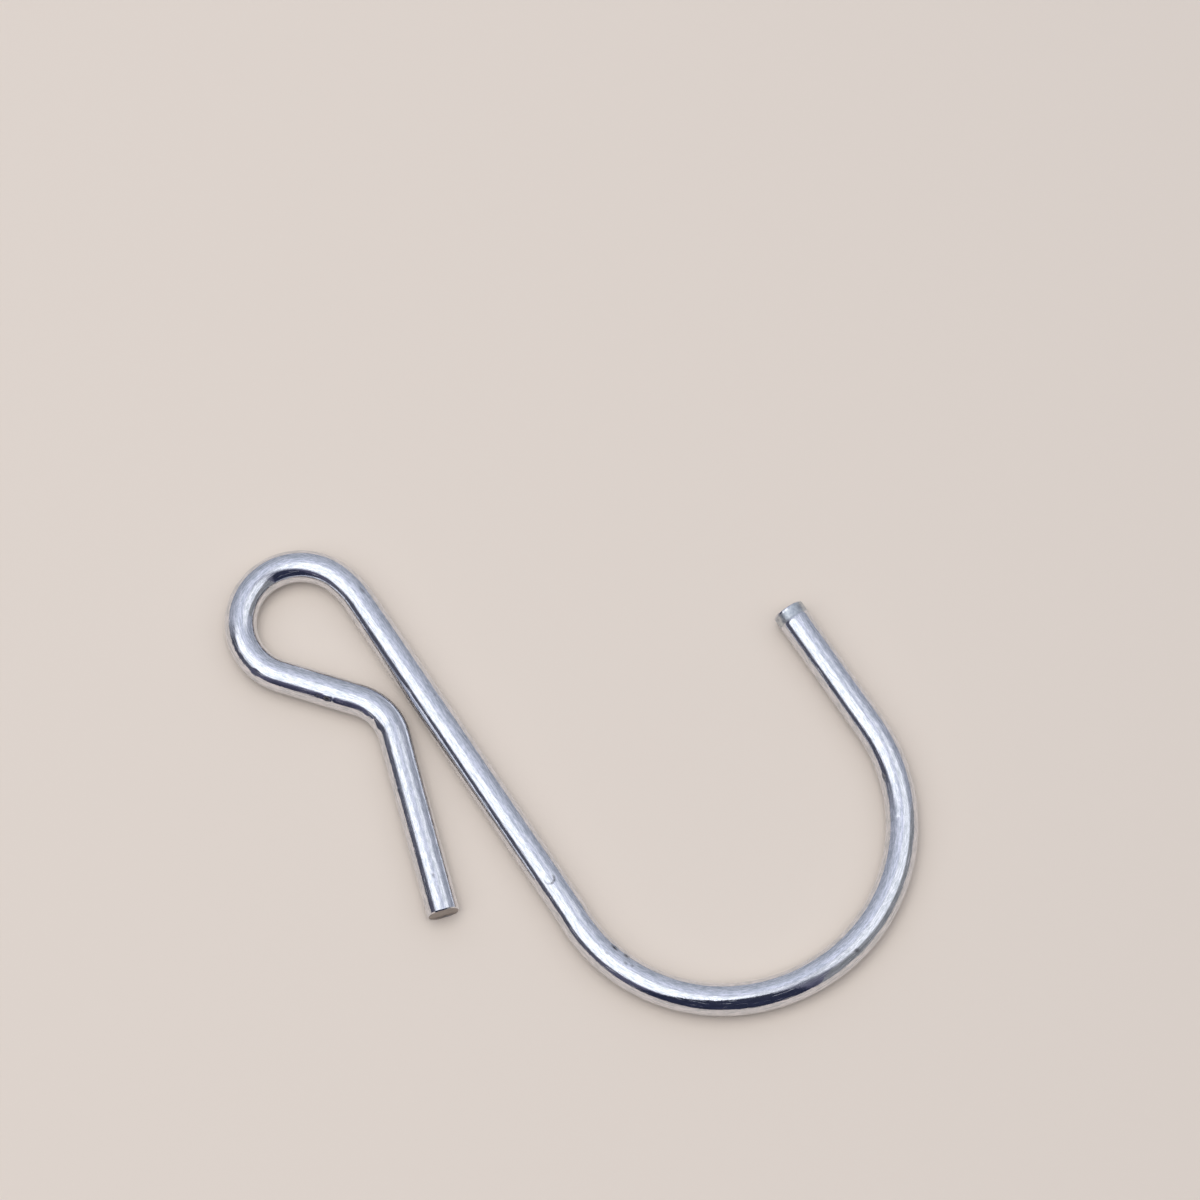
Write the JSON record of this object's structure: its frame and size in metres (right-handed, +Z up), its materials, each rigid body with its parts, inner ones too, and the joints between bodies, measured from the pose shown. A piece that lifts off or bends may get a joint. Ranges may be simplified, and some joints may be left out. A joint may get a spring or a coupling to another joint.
{
  "type": "s hook",
  "caption": "Flat wire S hook: a long shank with a sprung closed-up eye at one end and a wide open hook with a straight tip leg at the other.",
  "frame": {"origin": "middle of the hook's outline seen square on, in the plane that it lies on", "axes": "+Z up out of the plane of the wire, +Y along the shank towards the eye, +X from the shank towards the tip leg"},
  "size_m": [0.0388, 0.0516, 0.0025],
  "materials": {
    "nickel_plate": "bright nickel plate over drawn steel wire"
  },
  "bodies": {
    "root": {"hook": "nickel_plate"}
  },
  "joints": []
}
